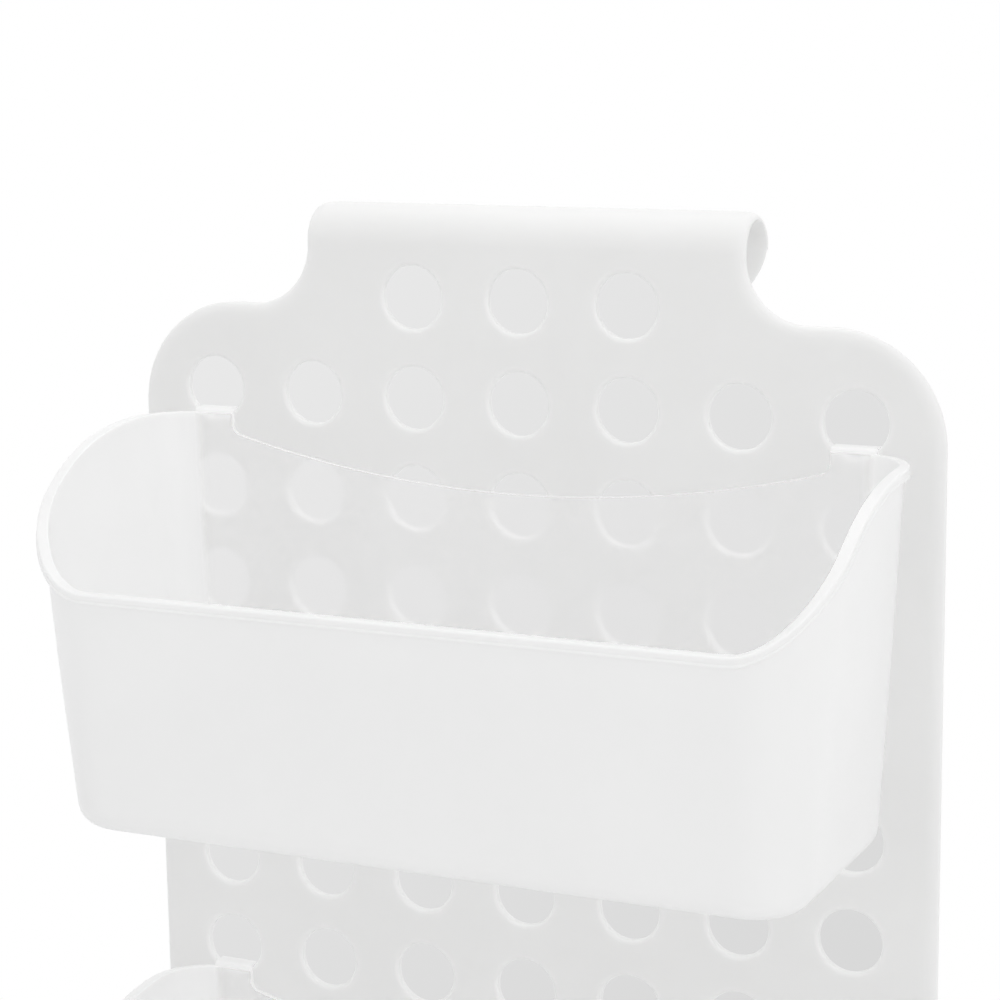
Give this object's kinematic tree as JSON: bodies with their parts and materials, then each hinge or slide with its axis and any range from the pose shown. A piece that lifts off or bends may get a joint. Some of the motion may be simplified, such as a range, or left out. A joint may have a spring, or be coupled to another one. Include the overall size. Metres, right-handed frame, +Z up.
{
  "type": "hanging storage basket",
  "caption": "Perforated back panel with a rolled-over rail hook at its top, carrying deep frosted baskets with a swooping rim that hang from its round holes by tabs.",
  "frame": {"origin": "on the axis of the rail that the hook goes over, midway along the hook", "axes": "+Z up, +X along the rail and to the right as seen from the front, -Y forward, the way the baskets face"},
  "size_m": [0.3, 0.129, 0.4848],
  "materials": {
    "white_plastic": "satin moulded white plastic",
    "frosted_plastic": "frosted translucent moulded plastic"
  },
  "bodies": {
    "back_panel": {"back_panel": "white_plastic"},
    "upper_basket": {"upper_basket": "frosted_plastic"},
    "lower_basket": {"lower_basket": "frosted_plastic"}
  },
  "joints": [
    {"name": "upper_basket_lift", "type": "slide", "parent": "back_panel", "child": "upper_basket", "axis": [0, 0, 1], "range_m": [0, 0.0148]},
    {"name": "lower_basket_lift", "type": "slide", "parent": "back_panel", "child": "lower_basket", "axis": [0, 0, 1], "range_m": [0, 0.0148]}
  ]
}
